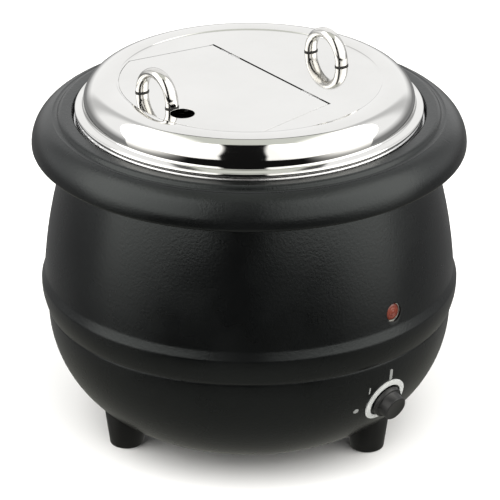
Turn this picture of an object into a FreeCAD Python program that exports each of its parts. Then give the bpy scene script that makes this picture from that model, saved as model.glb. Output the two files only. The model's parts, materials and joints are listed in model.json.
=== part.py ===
import FreeCAD, Part
import math
import os

# Ten-litre electric soup kettle. Millimetres, +Z up, origin on the floor under the middle.
# The control side (dial and lamp) faces -Y. The lid's own x axis runs from the hinged
# half towards the fixed half, and is turned by lid_turn about Z.

V = FreeCAD.Vector
UP = V(0, 0, 1)
os.makedirs("parts", exist_ok=True)

# sheet gauges
shell_gauge = 1.5
steel_gauge = 1.0

# casing
bowl_centre_r = 69.2
bowl_centre_z = 110.5
bowl_radius = 102.5
bowl_bottom_z = bowl_centre_z - bowl_radius
seam_z = 113.6
seam_r = 172.6
belt_r = 177.0
belt_z = 136.4
belt_top_r = 174.2
belt_top_z = 144.5
neck_r = 149.6
neck_z = 262.0
collar_r = 183.1
collar_bottom_z = 255.4
collar_top_z = 286.3
opening_r = 148.5
ledge_z = 279.0

# base
hatch_r = 58.0
plate_r = 68.0
base_screw_ring = 63.0

# water well and soup pot
well_r = 139.5
well_bottom_z = 88.0
well_corner = 22.0
pot_r = 134.3
pot_bottom_z = 100.0
pot_corner = 16.0
rim_seat_z = ledge_z + steel_gauge + 0.3

# heater under the well
spreader_r = 100.0
spreader_t = 4.0
heater_ring_r = 78.0
heater_tube_r = 4.0
heater_z = well_bottom_z - spreader_t - heater_tube_r
stud_r = 3.0

# lid
lid_turn = -6.5
lid_top_z = 312.0
disc_r = 109.0
bulge_r = 119.5
bulge_radius = 20.0
bulge_z = 293.9
lip_r = 146.4
lip_z = 289.0
bead_r = 1.6

# hinged flap
hinge_x = 22.2
flap_hinge_half = 80.0
flap_side_x = -56.0
flap_side_half = 93.5
flap_gap = 0.4
ledge_width = 5.5
axis_x = 21.4
axis_z = lid_top_z - 1.2
hinge_clear = 1.8
hinge_pair_y = 56.0
knuckle_r = 1.2
knuckle_long = 11.8
lid_knuckle_y = 49.9
flap_knuckle_y = 62.1
leaf_reach = 12.0
leaf_t = 0.8
hinge_pin_r = 0.6
pin_long = 24.4
notch_long = 24.6
frame_width = 3.5
frame_t = 1.3
hole_x = -86.6
hole_y = -24.0
hole_r = 10.2

# bow handles
bow_r = 21.0
bow_leg = 1.0
bow_wide = 12.0
bow_thick = 8.3
handle_hole_r = 2.15
handle_screw_r = 2.0
washer_t = 1.0
lid_handle_at = (80.5, -1.5)
flap_handle_at = (-86.0, 12.4)

# controls
dial_z = 73.0
dial_tilt = 17.0
dial_ring_r = 20.8
dial_hole_r = 16.2
knob_skirt_r = 14.5
knob_cap_r = 10.9
strap_screw_x = 8.5
spindle_r = 3.0
lamp_z = 157.0
lamp_r = 8.0

# feet
foot_ring = 118.5
foot_r = 14.2
foot_top_r = 20.2
foot_h = 44.0
foot_recess_r = 6.0
foot_screw_r = 2.5
foot_turns = {"foot_front": 14.5, "foot_right": 134.5, "foot_left": -105.5}

# cable inlet at the back
gland_z = 80.0
gland_r = 8.0
gland_flange_r = 11.5
gland_bore_r = 4.3

running = 0.05


def save(name, *solids):
    shape = solids[0] if len(solids) == 1 else Part.makeCompound(list(solids))
    shape.exportStep("parts/" + name + ".step")


def path(start, *steps):
    # a wire in the X-Z half plane: (r, z) is a straight run, (r, z, r, z) an arc through a point
    edges = []
    here = V(start[0], 0, start[1])
    for step in steps:
        end = V(step[-2], 0, step[-1])
        if len(step) == 2:
            edges.append(Part.makeLine(here, end))
        else:
            edges.append(Part.Arc(here, V(step[0], 0, step[1]), end).toShape())
        here = end
    return Part.Wire(edges)


def spun(wire):
    # an arc that bulges past the axis would spin to a torus that crosses itself, so it turns to a spline
    edges = []
    for edge in wire.Edges:
        curve = edge.Curve
        if isinstance(curve, Part.Circle) and curve.Center.x < curve.Radius:
            edge = edge.toNurbs().Edges[0]
        edges.append(edge)
    outline = Part.Wire(Part.sortEdges(edges)[0])
    return Part.Face(outline).revolve(V(0, 0, 0), UP, 360)


def spun_sheet(wire, gauge):
    # sheet metal whose outside follows the wire; a positive gauge lies to the wire's left
    strip = wire.makeOffset2D(gauge, 0, True, True)
    return spun(strip.Faces[0].OuterWire)


def tube(outer, inner, z0, z1, x=0.0, y=0.0):
    solid = Part.makeCylinder(outer, z1 - z0, V(x, y, z0))
    return solid.cut(Part.makeCylinder(inner, z1 - z0, V(x, y, z0)))


def hexagon(across, height, z0, x=0.0, y=0.0):
    ring = [V(x, y, z0) + V(math.cos(math.radians(60 * i)), math.sin(math.radians(60 * i)), 0)
            * (across / math.sqrt(3)) for i in range(7)]
    return Part.Face(Part.makePolygon(ring)).extrude(V(0, 0, height))


def around(radius, azimuth):
    # azimuth 0 is the control side, and grows towards +X
    a = math.radians(azimuth)
    return radius * math.sin(a), -radius * math.cos(a)


def bowl_r_at(z):
    return bowl_centre_r + math.sqrt(bowl_radius ** 2 - (bowl_centre_z - z) ** 2)


def bowl_z_at(r):
    return bowl_centre_z - math.sqrt(bowl_radius ** 2 - (r - bowl_centre_r) ** 2)


def bowl_point(degrees, radius=bowl_radius):
    a = math.radians(degrees)
    return bowl_centre_r + radius * math.cos(a), bowl_centre_z + radius * math.sin(a)


def place(shape, origin, axis=V(1, 0, 0), angle=0.0):
    shape.Placement = FreeCAD.Placement(origin, FreeCAD.Rotation(axis, angle))
    return shape


def on_dial(shape):
    # drawn with +Z out of the dial and +Y up the bowl
    return place(shape, V(0, -bowl_r_at(dial_z), dial_z), V(1, 0, 0), 90 + dial_tilt)


def on_back(shape):
    # drawn with +Z out of the wall, at the cable inlet behind the kettle
    tilt = math.degrees(math.asin((bowl_centre_z - gland_z) / bowl_radius))
    return place(shape, V(0, bowl_r_at(gland_z), gland_z), V(1, 0, 0), -90 - tilt)


def on_lid(shape):
    shape.rotate(V(0, 0, 0), UP, lid_turn)
    return shape


def lead(radius, *points):
    # a held lead: straight runs joined by tangent arcs, each as large as its runs allow
    pts = [V(*p) for p in points]
    edges = []
    here = pts[0]
    for before, corner, after in zip(pts, pts[1:], pts[2:]):
        arm = 0.45 * min(corner.distanceToPoint(before), corner.distanceToPoint(after))
        into = (corner - before).normalize()
        away = (after - corner).normalize()
        start = corner - into * arm
        end = corner + away * arm
        half = into.getAngle(away) / 2
        bow = (away - into).normalize()
        middle = corner + bow * (arm * (1 - math.cos(half)) / math.sin(half))
        edges += [Part.makeLine(here, start), Part.Arc(start, middle, end).toShape()]
        here = end
    edges.append(Part.makeLine(here, pts[-1]))
    route = Part.Wire(edges)
    first = (pts[1] - pts[0]).normalize()
    ring = Part.Wire(Part.makeCircle(radius, pts[0], first))
    return route.makePipeShell([ring], True, False)


# casing

def bowl_body(grow):
    # everything inside the bowl's outside surface, moved out by grow
    radius = bowl_radius + grow
    bottom = bowl_centre_z - radius
    return spun(path((0, bottom), (bowl_centre_r, bottom), bowl_point(-45, radius) + bowl_point(0, radius),
                     (0, bowl_centre_z), (0, bottom)))


def lower_bowl():
    skirt = (bowl_centre_r + bowl_radius - 2.0, seam_z + 2.5)
    shell = spun_sheet(path((hatch_r, bowl_bottom_z), (bowl_centre_r, bowl_bottom_z),
                            bowl_point(-45) + bowl_point(0),
                            (bowl_point(0)[0], seam_z - 0.9), skirt,
                            (skirt[0] + 2.4, seam_z + 17)), shell_gauge)
    for azimuth in foot_turns.values():
        x, y = around(foot_ring, azimuth)
        shell = shell.cut(Part.makeCylinder(2.7, 60, V(x, y, 0)))
    for i in range(6):
        x, y = around(base_screw_ring, 60 * i)
        shell = shell.cut(Part.makeCylinder(1.75, 20, V(x, y, 0)))
    shell = shell.cut(on_dial(Part.makeCylinder(5.2, 20, V(0, 0, -10))))
    for side in (-1, 1):
        shell = shell.cut(on_dial(Part.makeCylinder(2.1, 20, V(side * strap_screw_x, 0, -10))))
    return shell.cut(on_back(Part.makeCylinder(gland_r + 0.2, 30, V(0, 0, -15))))


def upper_shell():
    shell = spun_sheet(path((seam_r, seam_z), (175.9, 123.5, belt_r, belt_z),
                            (belt_top_r, belt_top_z), (168.2, 194.0, neck_r, neck_z),
                            (neck_r, ledge_z - shell_gauge)), shell_gauge)
    window = Part.makeCylinder(lamp_r, 40, V(0, -150, lamp_z), V(0, -1, 0))
    return shell.cut(window)


def collar_ring():
    return spun_sheet(path((142.2, ledge_z), (147.0, ledge_z),
                           (148.05, 279.45, opening_r, 280.5), (opening_r, 285.1),
                           (148.85, 285.95, 149.7, collar_top_z), (157.0, collar_top_z),
                           (159.4, 285.6, 161.0, 283.9), (162.7, 282.7, 165.6, 282.7),
                           (177.4, 274.8, collar_r, 258.6), (182.2, 256.3, 179.6, collar_bottom_z),
                           (175.0, collar_bottom_z)), -shell_gauge)


def base_plate():
    plate = tube(plate_r, 2.6, bowl_bottom_z - shell_gauge, bowl_bottom_z)
    for i in range(6):
        x, y = around(base_screw_ring, 60 * i)
        plate = plate.cut(Part.makeCylinder(2.2, 20, V(x, y, 0)))
    for side in (-1, 1):
        for row in range(5):
            slot = Part.makeBox(24, 2.4, 20, V(side * 28 - 12, 9 * (row - 2) - 1.2, 0))
            plate = plate.cut(slot)
    return plate


def base_screws():
    screws = []
    for i in range(6):
        x, y = around(base_screw_ring, 60 * i)
        head_z = bowl_bottom_z - shell_gauge - 2.2
        head = Part.makeCylinder(3.6, 2.2, V(x, y, head_z))
        head = head.makeFillet(1.0, [e for e in head.Edges if e.BoundBox.ZMax < head_z + 0.1])
        slot = Part.makeBox(8, 0.9, 1.0, V(x - 4, y - 0.45, head_z - 0.1))
        screws.append(head.cut(slot).fuse(Part.makeCylinder(1.7, 9, V(x, y, head_z + 1))))
    return screws


def foot(azimuth, body):
    x, y = around(foot_ring, azimuth)
    leg = Part.makeCone(foot_r, foot_top_r, foot_h, V(x, y, 0))
    leg = leg.makeFillet(1.6, [e for e in leg.Edges if e.BoundBox.ZMax < 0.01])
    leg = leg.cut(body)
    leg = leg.cut(Part.makeCylinder(foot_recess_r, 8.0, V(x, y, 0)))
    leg = leg.cut(Part.makeCylinder(foot_screw_r + 0.1, 60, V(x, y, 0)))
    return max(leg.Solids, key=lambda s: s.Volume)


def foot_screws():
    screws = []
    for azimuth in foot_turns.values():
        x, y = around(foot_ring, azimuth)
        head = Part.makeCylinder(5.0, 3.2, V(x, y, 4.8))
        slot = Part.makeBox(12, 1.2, 1.4, V(x - 6, y - 0.6, 4.7))
        screws.append(head.cut(slot).fuse(Part.makeCylinder(foot_screw_r, 25.5, V(x, y, 7.5))))
    return screws


def foot_nuts():
    nuts = []
    for azimuth in foot_turns.values():
        x, y = around(foot_ring, azimuth)
        nut = hexagon(8.0, 4.0, 26.5, x, y)
        nuts.append(nut.cut(Part.makeCylinder(foot_screw_r + running, 9, V(x, y, 24))))
    return nuts


# well, pot and heater

def inner_well():
    corner_z = well_bottom_z + well_corner
    bend = well_corner * (1 - math.sqrt(0.5))
    return spun_sheet(path((0, well_bottom_z), (well_r - well_corner, well_bottom_z),
                           (well_r - bend, well_bottom_z + bend, well_r, corner_z),
                           (well_r, ledge_z - 2.0), (140.1, ledge_z - 0.6, 141.5, ledge_z),
                           (147.0, ledge_z)), steel_gauge)


def soup_pot():
    corner_z = pot_bottom_z + pot_corner
    bend = pot_corner * (1 - math.sqrt(0.5))
    return spun_sheet(path((0, pot_bottom_z), (pot_r - pot_corner, pot_bottom_z),
                           (pot_r - bend, pot_bottom_z + bend, pot_r, corner_z),
                           (pot_r, rim_seat_z - 3.0),
                           (135.2, rim_seat_z - 0.9, 137.3, rim_seat_z), (141.6, rim_seat_z),
                           (144.7, rim_seat_z + 1.2, 145.9, rim_seat_z + 4.0),
                           (144.9, rim_seat_z + 6.0, 142.6, rim_seat_z + 6.7)), steel_gauge)


def insulation_wrap():
    return tube(148.0, well_r + 0.3, 116.0, 240.0)


def heat_spreader():
    disc = tube(spreader_r, stud_r + 0.3, well_bottom_z - spreader_t, well_bottom_z)
    return disc


def heater_tube():
    sweep = 330.0
    ring = Part.Face(Part.Wire(Part.makeCircle(heater_tube_r, V(heater_ring_r, 0, heater_z), V(0, 1, 0))))
    coil = ring.revolve(V(0, 0, 0), UP, sweep)
    coil.rotate(V(0, 0, 0), UP, 90 + (360 - sweep) / 2)
    ends = []
    for side in (-1, 1):
        x, y = around(heater_ring_r, 180 + side * (360 - sweep) / 2)
        ends.append(Part.makeSphere(heater_tube_r, V(x, y, heater_z)))
        ends.append(Part.makeCylinder(heater_tube_r, 22, V(x, y, heater_z - 22)))
    return coil.multiFuse(ends).removeSplitter()


def heater_terminals():
    pins = []
    for side in (-1, 1):
        x, y = around(heater_ring_r, 180 + side * 15)
        top = heater_z - 22
        bead = Part.makeCone(2.2, 3.4, 5, V(x, y, top - 5))
        pins.append(bead.fuse(Part.makeCylinder(1.2, 9, V(x, y, top - 12))))
    return pins


def heater_clamp():
    z0 = heater_z - heater_tube_r - 3.0
    clamp = Part.makeCylinder(14, 3, V(0, 0, z0))
    for i in range(3):
        arm = Part.makeBox(84, 16, 3, V(0, -8, z0))
        arm.rotate(V(0, 0, 0), UP, 120 * i + 30)
        clamp = clamp.fuse(arm)
    return clamp.cut(Part.makeCylinder(stud_r + 0.3, 9, V(0, 0, z0 - 3))).removeSplitter()


def heater_stud():
    return Part.makeCylinder(stud_r, 26, V(0, 0, well_bottom_z - 26))


def heater_nut():
    z0 = heater_z - heater_tube_r - 8.4
    washer = Part.makeCylinder(8, 1.2, V(0, 0, z0 + 4.2))
    nut = hexagon(10.0, 4.2, z0).fuse(washer)
    return nut.cut(Part.makeCylinder(stud_r + 0.05, 20, V(0, 0, z0 - 5)))


def thermal_cutout():
    z1 = well_bottom_z - spreader_t
    can = Part.makeCylinder(8, 9, V(-38, -24, z1 - 9))
    return can.fuse(Part.makeCylinder(11.5, 1.2, V(-38, -24, z1 - 1.2)))


def cutout_tabs():
    z1 = well_bottom_z - spreader_t - 9
    return [Part.makeBox(1, 6.3, 9, V(-38 + side * 4 - 0.5, -27.2, z1 - 9)) for side in (-1, 1)]


# controls

def dial_ring(body):
    ring = on_dial(tube(dial_ring_r, dial_hole_r, -8, 8))
    return ring.common(bowl_body(1.1)).cut(body)


def dial_marks(body):
    skin = bowl_body(0.35)
    tab = Part.makeBox(3.0, 10.0, 20, V(-1.5, dial_ring_r + 1.0, -14))
    tab = tab.makeFillet(1.4, [e for e in tab.Edges if e.BoundBox.ZLength > 15])
    dot = Part.makeCylinder(2.4, 20, V(-31.0, -2.0, -14))
    tick = Part.makeBox(1.0, 6.0, 20, V(-22.5, 14.5, -14))
    marks = []
    for stamp in (tab, dot, tick):
        marks.append(on_dial(stamp).common(skin).cut(body))
    return marks


def knob():
    skirt = Part.makeCone(knob_skirt_r, knob_skirt_r - 0.9, 4.2, V(0, 0, 1.0))
    cap = Part.makeCone(knob_cap_r + 0.4, knob_cap_r, 9.3, V(0, 0, 4.2))
    cap = cap.makeFillet(0.9, [e for e in cap.Edges if e.BoundBox.ZMin > 13.4])
    body = skirt.fuse(cap)
    body = body.cut(Part.makeCylinder(knob_skirt_r - 2.2, 3.0, V(0, 0, 0.5)))
    body = body.cut(Part.makeCylinder(spindle_r, 8.5, V(0, 0, 1.0)))
    line = Part.makeBox(4.5, 0.9, 2, V(0.3 - knob_skirt_r, -0.45, 4.9))
    return on_dial(body.cut(line))


def spindle():
    shaft = Part.makeCylinder(spindle_r, 27.5, V(0, 0, -18))
    return on_dial(shaft)


def thermostat_body():
    case = Part.makeBox(36, 31, 22, V(-18, -22, -30))
    case = case.makeFillet(2.0, [e for e in case.Edges if e.BoundBox.ZLength > 20])
    strap = Part.makeBox(36, 16, 2, V(-18, -8, -8))
    body = case.fuse(strap)
    body = body.cut(Part.makeCylinder(spindle_r + running, 30, V(0, 0, -20)))
    for side in (-1, 1):
        body = body.cut(Part.makeCylinder(1.6, 10, V(side * strap_screw_x, 0, -15)))
    return on_dial(body)


def thermostat_screws():
    screws = []
    for side in (-1, 1):
        head = Part.makeCylinder(3.2, 1.0, V(side * strap_screw_x, 0, 0.1))
        shank = Part.makeCylinder(1.55, 12.9, V(side * strap_screw_x, 0, -12.8))
        screws.append(on_dial(head.fuse(shank)))
    return screws


def thermostat_terminals():
    return [on_dial(Part.makeBox(6.3, 0.8, 8, V(side * 9 - 3.15, -14, -38))) for side in (-1, 1)]


def thermostat_bulb():
    return Part.makeCylinder(3, 64, V(-32, -110, well_bottom_z - 3), V(1, 0, 0))


def bulb_clip():
    z1 = well_bottom_z
    clips = []
    for x in (-24, 16):
        ring = Part.makeCylinder(4.0, 8, V(x, -110, z1 - 3), V(1, 0, 0))
        ring = ring.fuse(Part.makeBox(8, 8, 3, V(x, -114, z1 - 3)))
        ring = ring.fuse(Part.makeBox(8, 22, 1, V(x, -121, z1 - 1)))
        ring = ring.cut(Part.makeCylinder(3.05, 9, V(x - 0.5, -110, z1 - 3), V(1, 0, 0)))
        clips.append(ring.cut(Part.makeBox(9, 6.1, 4, V(x - 0.5, -113.05, z1 - 3))))
    return clips


def capillary_tube():
    bulb_end = (32, -110, well_bottom_z - 3)
    return lead(1.0, bulb_end, (46, -110, 84), (56, -112, 76), (50, -122, 66), (34, -130, 62),
                (18.2, -136, 62))


def lamp_lens():
    lens = Part.makeCylinder(lamp_r - 0.3, 3.0, V(0, -169.6, lamp_z), V(0, -1, 0))
    rim = [e for e in lens.Edges if e.BoundBox.YMax < -172.5]
    return lens.makeFillet(1.4, rim)


def lamp_body():
    flange = Part.makeCylinder(lamp_r + 2.6, 1.2, V(0, -169.6, lamp_z), V(0, 1, 0))
    return flange.fuse(Part.makeCylinder(6.4, 15, V(0, -169, lamp_z), V(0, 1, 0)))


def lamp_tabs():
    return [Part.makeBox(0.8, 5, 4, V(side * 3 - 0.4, -154, lamp_z - 2)) for side in (-1, 1)]


# cable inlet and wiring

def cable_gland(body):
    barrel = Part.makeCylinder(gland_r, 12.5, V(0, 0, -12))
    flange = on_back(Part.makeCylinder(gland_flange_r, 7.0, V(0, 0, -3))).cut(body)
    gland = on_back(barrel).fuse(flange)
    return gland.cut(on_back(Part.makeCylinder(gland_bore_r, 40, V(0, 0, -20))))


def gland_cap():
    cap = Part.makeCone(11.0, 7.5, 9, V(0, 0, 4.0))
    ribs = [Part.makeCylinder(1.0, 20, V(11.0 * math.cos(a), 11.0 * math.sin(a), 3.0))
            for a in (math.radians(30 * i) for i in range(12))]
    cap = cap.cut(Part.makeCompound(ribs))
    return on_back(cap.cut(Part.makeCylinder(gland_bore_r, 20, V(0, 0, 0))))


def gland_nut():
    nut = hexagon(20.0, 4.5, -7.4)
    return on_back(nut.cut(Part.makeCylinder(gland_r + running, 20, V(0, 0, -12))))


def terminal_block():
    block = Part.makeBox(42, 18, 14, V(-21, 28, bowl_bottom_z))
    for i in range(3):
        block = block.cut(Part.makeCylinder(3.2, 8, V(-13 + 13 * i, 33, bowl_bottom_z + 8)))
        block = block.cut(Part.makeCylinder(3.2, 8, V(-13 + 13 * i, 41, bowl_bottom_z + 8)))
    return block


def terminal_screws():
    screws = []
    for i in range(3):
        for y in (33, 41):
            head = Part.makeCylinder(2.6, 3, V(-13 + 13 * i, y, bowl_bottom_z + 8))
            screws.append(head.cut(Part.makeBox(6, 0.8, 1, V(-16 + 13 * i, y - 0.4, bowl_bottom_z + 10.2))))
    return screws


def earth_stud():
    stud = Part.makeCylinder(2.5, 12, V(38, 34, bowl_bottom_z))
    return stud.fuse(hexagon(8, 4, bowl_bottom_z, 38, 34))


def supply_leads():
    top = bowl_bottom_z + 14
    return [lead(1.3, (x, 47.3, top - 4), (x, 64, top - 3), (x * 0.8, 92, 32), (x * 0.3, 118, 58),
                 (x * 0.2, 136, 84), (x * 0.2, 152, gland_z + 5.0)) for x in (-13, 0, 13)]


def control_leads():
    wires = []
    for side, z in ((-1, 20.0), (1, 16.5)):
        wires.append(lead(1.2, (13 * side, 26.7, z), (22 * side, 4, z + 4), (30 * side, -34, z + 14),
                          (24 * side, -86, z + 28), (13 * side, -112, 62), (9 * side, -124.5, 73.5)))
    return wires


def heater_leads():
    wires = []
    for side in (-1, 1):
        x, y = around(heater_ring_r, 180 + side * 15)
        end_z = heater_z - 34
        wires.append(lead(1.2, (x * 0.32, 47.2, 13), (x * 1.2, 58, 15), (x * 1.9, 74, 26),
                          (x * 1.4, y + 2, end_z - 10), (x, y, end_z - 0.7)))
    return wires


# lid and hinged flap

def flap_outline(grow):
    # the flap's outline on the lid, moved outwards by grow
    arc_r = disc_r + grow
    flare = math.atan2(flap_side_half - flap_hinge_half, hinge_x - flap_side_x)
    side = flap_hinge_half + grow / math.cos(flare)
    slope = math.tan(flare)
    # the flared side y = side + slope * (hinge_x - x) meets the arc at meet_x
    a = 1 + slope ** 2
    b = -2 * slope * (side + slope * hinge_x)
    c = (side + slope * hinge_x) ** 2 - arc_r ** 2
    meet_x = (-b - math.sqrt(b * b - 4 * a * c)) / (2 * a)
    meet_y = side + slope * (hinge_x - meet_x)
    return arc_r, side, meet_x, meet_y


def flap_face(grow, edge_x, z, height):
    arc_r, side, meet_x, meet_y = flap_outline(grow)
    slope = (meet_y - side) / (hinge_x - meet_x)
    edge_y = side - slope * (edge_x - hinge_x)
    a, b = V(edge_x, edge_y, z), V(meet_x, meet_y, z)
    c, d = V(meet_x, -meet_y, z), V(edge_x, -edge_y, z)
    wire = Part.Wire([Part.makeLine(a, b), Part.Arc(b, V(-arc_r, 0, z), c).toShape(),
                      Part.makeLine(c, d), Part.makeLine(d, a)])
    return Part.Face(wire).extrude(V(0, 0, height))


def handle_hole(at, side):
    return Part.makeCylinder(handle_hole_r, 9, V(at[0], at[1] + side * bow_r, lid_top_z - 5))


def lid_shell():
    top = lid_top_z
    crown = math.sqrt(0.5) * bulge_radius
    lid = spun_sheet(path((0, top), (disc_r - 0.4, top), (110.4, top + 0.35, 111.6, top + 1.1),
                          (115.2, top + 1.75, bulge_r, bulge_z + bulge_radius),
                          (bulge_r + crown, bulge_z + crown, bulge_r + bulge_radius, bulge_z),
                          (139.95, 292.75, 140.9, 292.1), (144.6, lip_z + bead_r)), -steel_gauge)
    ring = Part.Face(Part.Wire(Part.makeCircle(bead_r, V(lip_r - bead_r, 0, lip_z), V(0, 1, 0))))
    bead = ring.revolve(V(0, 0, 0), UP, 360)
    lid = lid.fuse(bead)
    under = top - steel_gauge
    lid = lid.cut(flap_face(flap_gap, axis_x + hinge_clear, under - 5, 20))
    clear_of_hinge = hinge_x + 9
    frame = flap_face(frame_width, axis_x + hinge_clear, under - frame_t, frame_t)
    frame = frame.cut(flap_face(flap_gap, clear_of_hinge, under - 9, 20))
    shelf = flap_face(flap_gap, axis_x - 6, under - frame_t, steel_gauge)
    shelf = shelf.cut(flap_face(-ledge_width, clear_of_hinge, under - 9, 20))
    lid = lid.fuse(frame).fuse(shelf)
    swing = 2 * (flap_hinge_half + 3 * flap_gap)
    lid = lid.cut(Part.makeBox(4 + hinge_clear, swing, 20, V(axis_x - 4, -swing / 2, under - 5)))
    for side in (-1, 1):
        lid = lid.cut(handle_hole(lid_handle_at, side))
    return on_lid(lid.removeSplitter())


def flap_plate():
    under = lid_top_z - steel_gauge
    plate = flap_face(0, axis_x - 0.2, under, steel_gauge)
    for side in (-1, 1):
        notch_y = side * hinge_pair_y - notch_long / 2
        notch = Part.makeBox(4, notch_long, 4, V(axis_x - 1.6, notch_y, under - 1))
        plate = plate.cut(notch).cut(handle_hole(flap_handle_at, side))
    plate = plate.cut(Part.makeCylinder(hole_r, 9, V(hole_x, hole_y, under - 4)))
    collar = tube(hole_r + 0.8, hole_r, under - 1.6, lid_top_z, hole_x, hole_y)
    return on_lid(plate.fuse(collar).removeSplitter())


def hinge_leaves(knuckle_y, reach, bore):
    leaves = []
    for side in (-1, 1):
        y0 = side * knuckle_y - knuckle_long / 2
        roll = Part.makeCylinder(knuckle_r, knuckle_long, V(axis_x, y0, axis_z), V(0, 1, 0))
        corner = V(min(axis_x, axis_x + reach), y0, axis_z - 0.6)
        leaf = Part.makeBox(abs(reach), knuckle_long, leaf_t, corner)
        hinge = roll.fuse(leaf).cut(Part.makeCylinder(bore, 14, V(axis_x, y0 - 1, axis_z), V(0, 1, 0)))
        leaves.append(on_lid(hinge.removeSplitter()))
    return leaves


def hinge_pins():
    pins = []
    for side in (-1, 1):
        y0 = side * hinge_pair_y - pin_long / 2
        pins.append(on_lid(Part.makeCylinder(hinge_pin_r, pin_long, V(axis_x, y0, axis_z), V(0, 1, 0))))
    return pins


def bow_handle(at):
    foot_z = lid_top_z + washer_t
    section = Part.Ellipse(V(0, 0, 0), bow_wide / 2, bow_thick / 2).toShape()
    face = Part.Face(Part.Wire(section))
    leg = face.extrude(V(0, 0, bow_leg))
    bend = face.copy()
    bend.translate(V(0, -bow_r, 0))
    bend = bend.revolve(V(0, 0, 0), V(1, 0, 0), -180)
    bend.translate(V(0, 0, bow_leg))
    legs = []
    for side in (-1, 1):
        post = leg.copy()
        post.translate(V(0, side * bow_r, 0))
        legs.append(post)
    bow = bend.multiFuse(legs).removeSplitter()
    for side in (-1, 1):
        bow = bow.cut(Part.makeCylinder(handle_screw_r + running, 6.0, V(0, side * bow_r, -0.5)))
    bow.translate(V(at[0], at[1], foot_z))
    return on_lid(bow)


def bow_washers(at):
    washers = []
    for side in (-1, 1):
        section = Part.Ellipse(V(0, 0, 0), bow_wide / 2 + 0.4, bow_thick / 2 + 0.4).toShape()
        pad = Part.Face(Part.Wire(section)).extrude(V(0, 0, washer_t))
        pad = pad.cut(Part.makeCylinder(handle_hole_r, 9, V(0, 0, -4)))
        pad.translate(V(at[0], at[1] + side * bow_r, lid_top_z))
        washers.append(on_lid(pad))
    return washers


def bow_screws(at):
    under = lid_top_z - steel_gauge
    screws = []
    for side in (-1, 1):
        y = at[1] + side * bow_r
        head = Part.makeCylinder(3.6, 2.4, V(at[0], y, under - 2.4))
        head = head.makeFillet(1.0, [e for e in head.Edges if e.BoundBox.ZMax < under - 2.3])
        head = head.cut(Part.makeBox(8, 0.9, 1.0, V(at[0] - 4, y - 0.45, under - 2.5)))
        screws.append(on_lid(head.fuse(Part.makeCylinder(handle_screw_r, 7, V(at[0], y, under - 0.5)))))
    return screws


# write every piece

bowl = bowl_body(0)
save("lower_bowl", lower_bowl())
save("upper_shell", upper_shell())
save("collar_ring", collar_ring())
save("base_plate", base_plate())
save("base_screws", *base_screws())
for name, azimuth in foot_turns.items():
    save(name, foot(azimuth, bowl))
save("foot_screws", *foot_screws())
save("foot_nuts", *foot_nuts())
save("inner_well", inner_well())
save("soup_pot", soup_pot())
save("insulation_wrap", insulation_wrap())
save("heat_spreader", heat_spreader())
save("heater_tube", heater_tube())
save("heater_terminals", *heater_terminals())
save("heater_clamp", heater_clamp())
save("heater_stud", heater_stud())
save("heater_nut", heater_nut())
save("thermal_cutout", thermal_cutout())
save("cutout_tabs", *cutout_tabs())
save("dial_ring", dial_ring(bowl))
save("dial_marks", *dial_marks(bowl))
save("knob", knob())
save("spindle", spindle())
save("thermostat_body", thermostat_body())
save("thermostat_screws", *thermostat_screws())
save("thermostat_terminals", *thermostat_terminals())
save("thermostat_bulb", thermostat_bulb())
save("bulb_clips", *bulb_clip())
save("capillary_tube", capillary_tube())
save("lamp_lens", lamp_lens())
save("lamp_body", lamp_body())
save("lamp_tabs", *lamp_tabs())
save("cable_gland", cable_gland(bowl))
save("gland_cap", gland_cap())
save("gland_nut", gland_nut())
save("terminal_block", terminal_block())
save("terminal_screws", *terminal_screws())
save("earth_stud", earth_stud())
save("supply_leads", *supply_leads())
save("control_leads", *control_leads())
save("heater_leads", *heater_leads())
save("lid_shell", lid_shell())
save("lid_hinge_leaves", *hinge_leaves(lid_knuckle_y, leaf_reach, hinge_pin_r))
save("hinge_pins", *hinge_pins())
save("lid_handle", bow_handle(lid_handle_at))
save("lid_handle_washers", *bow_washers(lid_handle_at))
save("lid_handle_screws", *bow_screws(lid_handle_at))
save("flap_plate", flap_plate())
save("flap_hinge_leaves", *hinge_leaves(flap_knuckle_y, -leaf_reach, hinge_pin_r + running))
save("flap_handle", bow_handle(flap_handle_at))
save("flap_handle_washers", *bow_washers(flap_handle_at))
save("flap_handle_screws", *bow_screws(flap_handle_at))
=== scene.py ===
import json
import math
import bmesh
import bpy
from mathutils import Matrix, Vector


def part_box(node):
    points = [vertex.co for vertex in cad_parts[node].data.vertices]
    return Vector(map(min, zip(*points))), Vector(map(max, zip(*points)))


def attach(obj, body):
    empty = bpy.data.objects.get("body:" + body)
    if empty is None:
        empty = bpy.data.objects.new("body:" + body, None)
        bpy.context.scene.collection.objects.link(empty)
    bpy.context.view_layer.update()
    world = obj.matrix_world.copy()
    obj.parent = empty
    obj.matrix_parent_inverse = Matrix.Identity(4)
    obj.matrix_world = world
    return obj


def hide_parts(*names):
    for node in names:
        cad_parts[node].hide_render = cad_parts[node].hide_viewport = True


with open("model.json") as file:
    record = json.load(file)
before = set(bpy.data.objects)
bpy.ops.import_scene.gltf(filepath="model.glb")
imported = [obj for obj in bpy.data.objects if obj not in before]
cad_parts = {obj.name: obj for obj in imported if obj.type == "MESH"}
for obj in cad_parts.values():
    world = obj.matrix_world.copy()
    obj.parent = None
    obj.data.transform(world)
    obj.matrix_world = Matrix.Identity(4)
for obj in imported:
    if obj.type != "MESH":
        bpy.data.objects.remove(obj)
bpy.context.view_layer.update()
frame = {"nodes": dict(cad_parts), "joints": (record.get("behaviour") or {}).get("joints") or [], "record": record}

# Electric soup kettle with a polished hinged lid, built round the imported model.
mm = 0.001
joints = {joint["name"]: joint for joint in frame["joints"]}
subparts = frame["record"]["subparts"]
slotOf = {part["node"]: part["material_slot"] for part in subparts}
for material in list(bpy.data.materials):
    bpy.data.materials.remove(material)
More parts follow.
